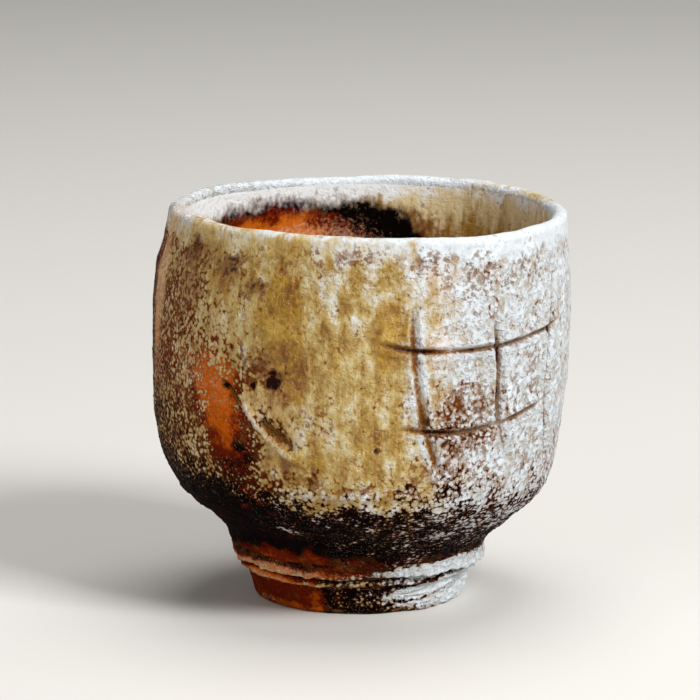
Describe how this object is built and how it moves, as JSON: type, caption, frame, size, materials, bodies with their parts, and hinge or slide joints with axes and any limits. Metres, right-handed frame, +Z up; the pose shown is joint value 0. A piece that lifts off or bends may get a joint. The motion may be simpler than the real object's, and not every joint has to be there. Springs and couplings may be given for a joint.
{
  "type": "yunomi tea cup",
  "caption": "Handleless wood-fired stoneware tea cup: rounded bowl on a flared foot ring with a torn clay collar, ash glaze outside and a coat of glaze inside.",
  "frame": {"origin": "centre of the foot ring's flat face, on the table", "axes": "+Z up to the lip; -Y is the face with the long ash runs; -X is the sheltered side with the thumbed flat under the lip"},
  "size_m": [0.0834, 0.0832, 0.079],
  "materials": {
    "bowl_clay": "bare fired stoneware",
    "foot_clay": "flashed bare stoneware",
    "collar_clay": "flashed stoneware with ash on its ridges",
    "ash_glass": "natural wood-ash glaze, from dry crust to gloss",
    "liner_glass": "satin flashed slip with thin ash"
  },
  "bodies": {
    "root": {"bowl": "bowl_clay", "foot_ring": "foot_clay", "joint_collar": "collar_clay", "ash_glaze": "ash_glass", "liner_glaze": "liner_glass"}
  },
  "joints": []
}
